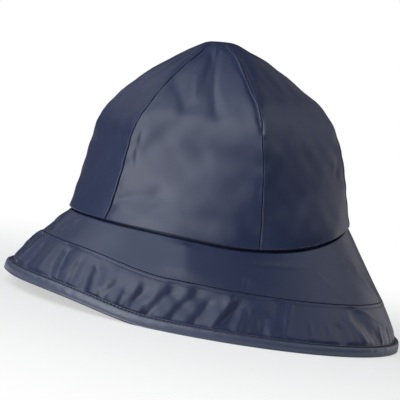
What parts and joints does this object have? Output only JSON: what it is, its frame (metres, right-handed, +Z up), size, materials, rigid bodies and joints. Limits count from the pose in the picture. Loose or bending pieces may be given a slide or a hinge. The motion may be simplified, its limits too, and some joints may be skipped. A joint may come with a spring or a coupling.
{
  "type": "sou wester rain hat",
  "caption": "Rain hat of smooth coated cloth: a tall panelled crown with a soft point, over a sloping brim that is short in front and long at the back, with a bound edge.",
  "frame": {"origin": "middle of the brim's outline, on the surface that the brim rests on", "axes": "+Z up from the brim to the crown's top, +Y towards the back of the hat, +X towards the wearer's left"},
  "size_m": [0.2514, 0.2888, 0.1889],
  "materials": {
    "crown_cloth": "satin",
    "brim_cloth": "satin",
    "binding_cloth": "satin"
  },
  "bodies": {
    "root": {"crown_panel_front": "crown_cloth", "crown_panel_left_front": "crown_cloth", "crown_panel_left_back": "crown_cloth", "crown_panel_back": "crown_cloth", "crown_panel_right_back": "crown_cloth", "crown_panel_right_front": "crown_cloth", "brim_upper_band": "brim_cloth", "brim_lower_band": "brim_cloth", "edge_binding": "binding_cloth"}
  },
  "joints": []
}
